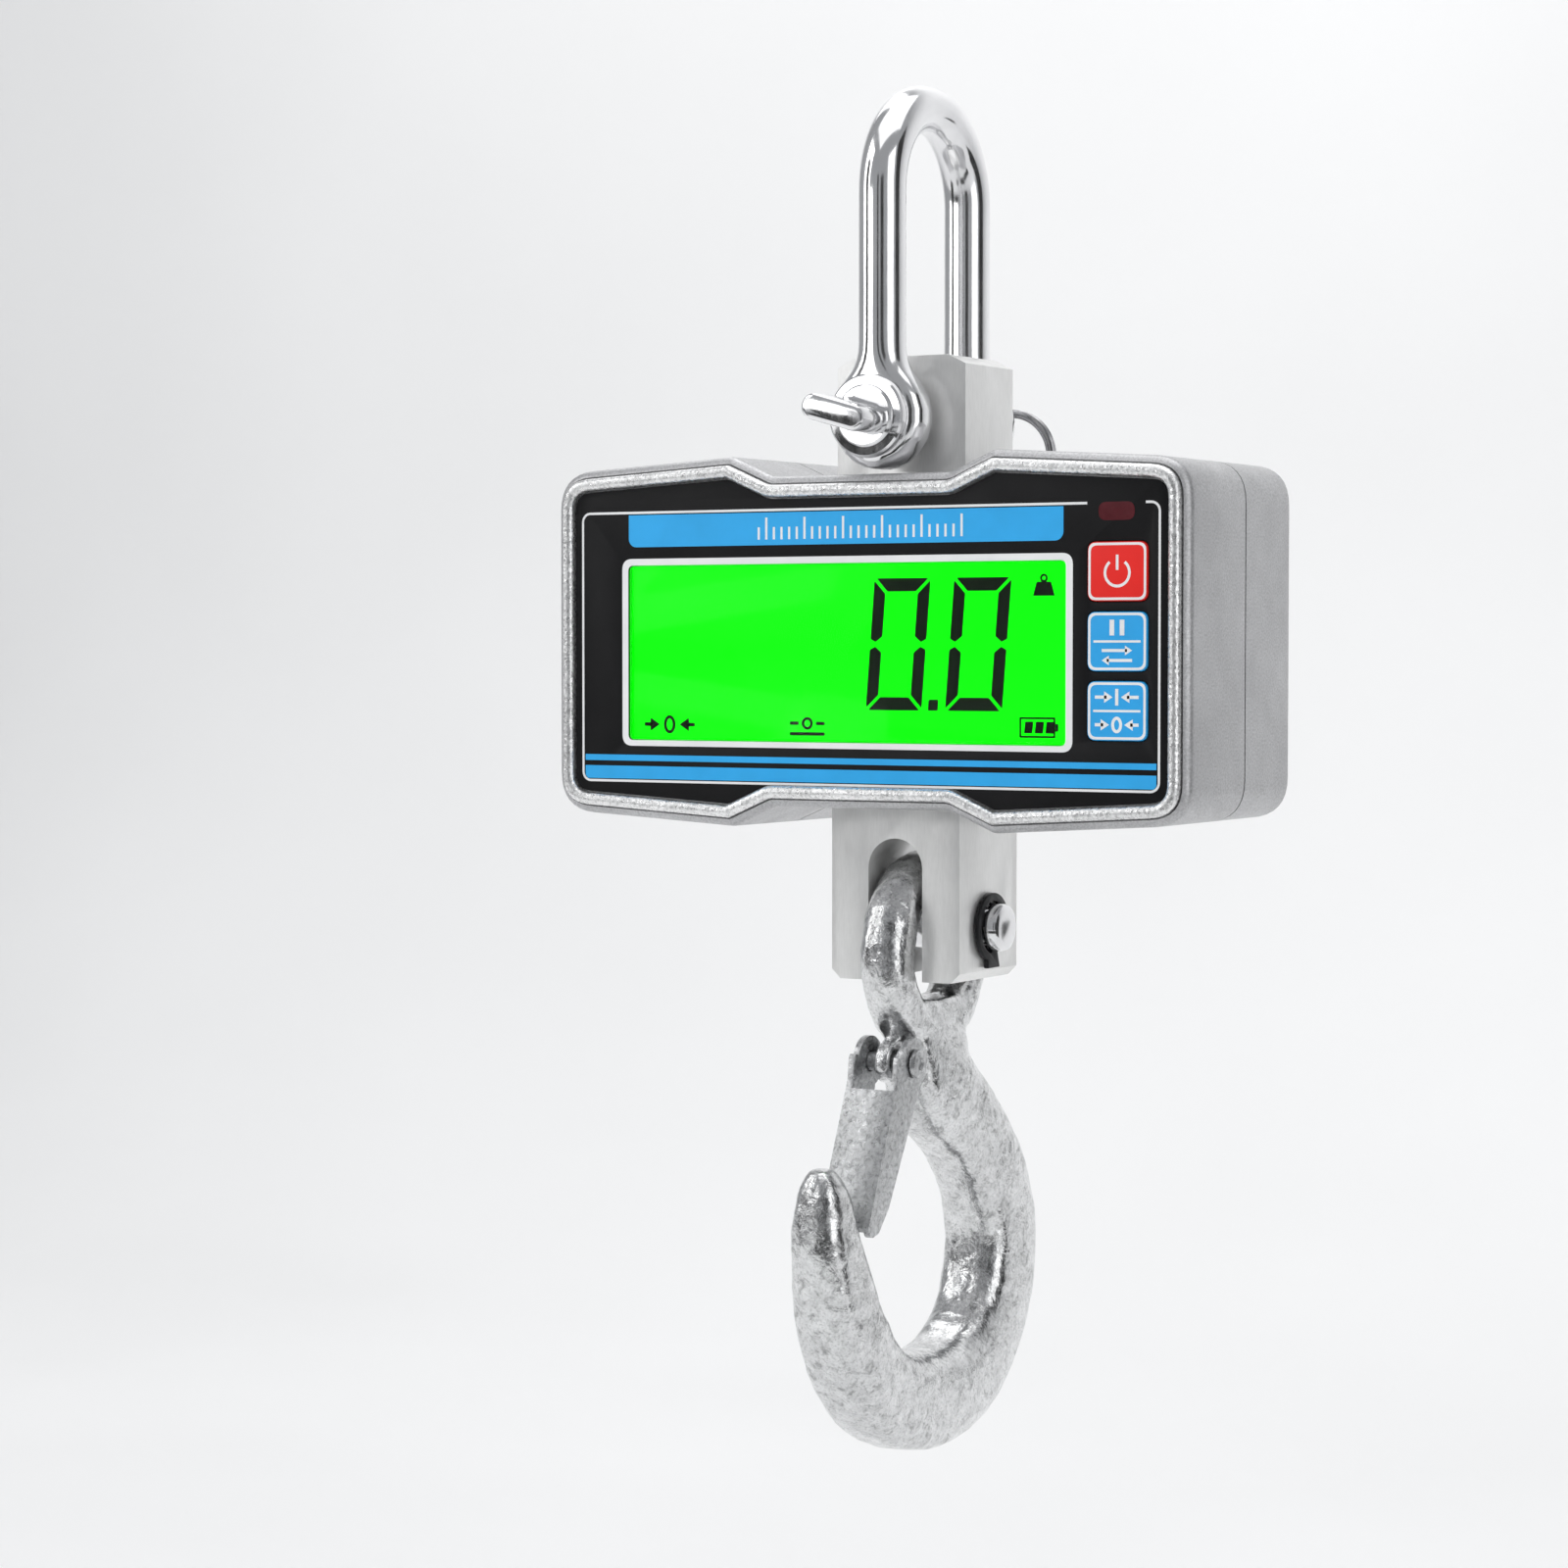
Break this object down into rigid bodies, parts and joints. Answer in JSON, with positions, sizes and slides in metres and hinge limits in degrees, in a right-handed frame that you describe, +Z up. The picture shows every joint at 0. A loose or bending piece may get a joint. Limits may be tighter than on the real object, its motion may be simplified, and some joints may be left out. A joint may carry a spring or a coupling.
{
  "type": "crane scale",
  "caption": "Digital hanging scale: a box housing with a lit display and keys on a load cell column, hung from a pinned shackle, with a latched swinging eye hook below.",
  "frame": {"origin": "the bearing point at the top of the inside of the shackle's bow, where a crane's hook carries the scale", "axes": "+Z up along the load line, +X to the right of somebody who reads the display, -Y out of the display"},
  "size_m": [0.162, 0.1004, 0.3162],
  "materials": {
    "polished_steel": "polished",
    "machined_aluminium": "satin",
    "cast_aluminium": "satin",
    "bright_aluminium": "fine hammered",
    "galvanised_steel": "rough galvanised",
    "zinc_sheet": "zinc plated",
    "black_steel": "black oxide",
    "screw_steel": "satin",
    "rubber": "matte",
    "panel_film": "printed film",
    "key_red": "satin",
    "key_blue": "satin",
    "window": "clear",
    "display": "backlit",
    "diffuser": "white",
    "circuit_board": "solder mask",
    "black_plastic": "matte",
    "cell_sleeve": "shrink sleeve",
    "cable_jacket": "matte"
  },
  "bodies": {
    "shackle": {"shackle_bow": "polished_steel", "shackle_pin": "polished_steel"},
    "locking_ring": {"split_ring": "screw_steel"},
    "scale_body": {"upper_lug": "machined_aluminium", "load_cell": "machined_aluminium", "lower_clevis": "machined_aluminium", "upper_stud": "screw_steel", "lower_stud": "screw_steel", "clevis_pin": "polished_steel", "e_clip_right": "black_steel", "e_clip_left": "black_steel", "front_shell": "cast_aluminium", "rear_shell": "cast_aluminium", "shell_gasket_left": "rubber", "shell_gasket_right": "rubber", "bezel_frame": "bright_aluminium", "overlay_panel": "panel_film", "top_seal": "rubber", "bottom_seal": "rubber", "display_window": "window", "display_glass": "display", "backlight_plate": "diffuser", "main_board": "circuit_board", "infrared_receiver": "black_plastic", "buzzer": "black_plastic", "key_switch_1": "black_plastic", "key_switch_2": "black_plastic", "key_switch_3": "black_plastic", "case_screw_1": "screw_steel", "case_screw_2": "screw_steel", "case_screw_3": "screw_steel", "case_screw_4": "screw_steel", "board_screw_1": "screw_steel", "board_screw_2": "screw_steel", "board_screw_3": "screw_steel", "board_screw_4": "screw_steel", "battery_holder": "black_plastic", "battery_cell_1": "cell_sleeve", "battery_cell_2": "cell_sleeve", "battery_cell_3": "cell_sleeve", "gauge_cable": "cable_jacket", "battery_lead": "cable_jacket"},
    "power_button": {"power_key": "key_red"},
    "hold_button": {"hold_key": "key_blue"},
    "tare_button": {"tare_key": "key_blue"},
    "door": {"battery_door": "cast_aluminium", "door_screw_1": "screw_steel", "door_screw_2": "screw_steel"},
    "hook_body": {"hook": "galvanised_steel", "latch_rivet": "screw_steel"},
    "safety_latch": {"latch": "zinc_sheet", "latch_spring": "screw_steel"}
  },
  "joints": [
    {"name": "scale_swing", "type": "hinge", "parent": "shackle", "child": "scale_body", "pos_m": [0, 0, -0.0667], "axis": [0, 1, 0], "range_deg": [-80, 80]},
    {"name": "ring_swing", "type": "hinge", "parent": "shackle", "child": "locking_ring", "pos_m": [0, 0.031, -0.0667], "axis": [0.7071, 0, 0.7071], "range_deg": [-10, 70]},
    {"name": "hook_swing", "type": "hinge", "parent": "scale_body", "child": "hook_body", "pos_m": [0, 0, -0.1834], "axis": [1, 0, 0], "range_deg": [-45, 45]},
    {"name": "latch_hinge", "type": "hinge", "parent": "hook_body", "child": "safety_latch", "pos_m": [0, -0.017, -0.214], "axis": [1, 0, 0], "range_deg": [0, 45], "stiffness_Nm_per_rad": 0.05, "springref_deg": -28.65},
    {"name": "power_press", "type": "slide", "parent": "scale_body", "child": "power_button", "axis": [0, 1, 0], "range_m": [0, 0.0008], "stiffness_N_per_m": 1500, "springref_m": -0.0005},
    {"name": "hold_press", "type": "slide", "parent": "scale_body", "child": "hold_button", "axis": [0, 1, 0], "range_m": [0, 0.0008], "stiffness_N_per_m": 1500, "springref_m": -0.0005},
    {"name": "tare_press", "type": "slide", "parent": "scale_body", "child": "tare_button", "axis": [0, 1, 0], "range_m": [0, 0.0008], "stiffness_N_per_m": 1500, "springref_m": -0.0005},
    {"name": "door_lift", "type": "slide", "parent": "scale_body", "child": "door", "axis": [0, 1, 0], "range_m": [0, 0.015]}
  ]
}
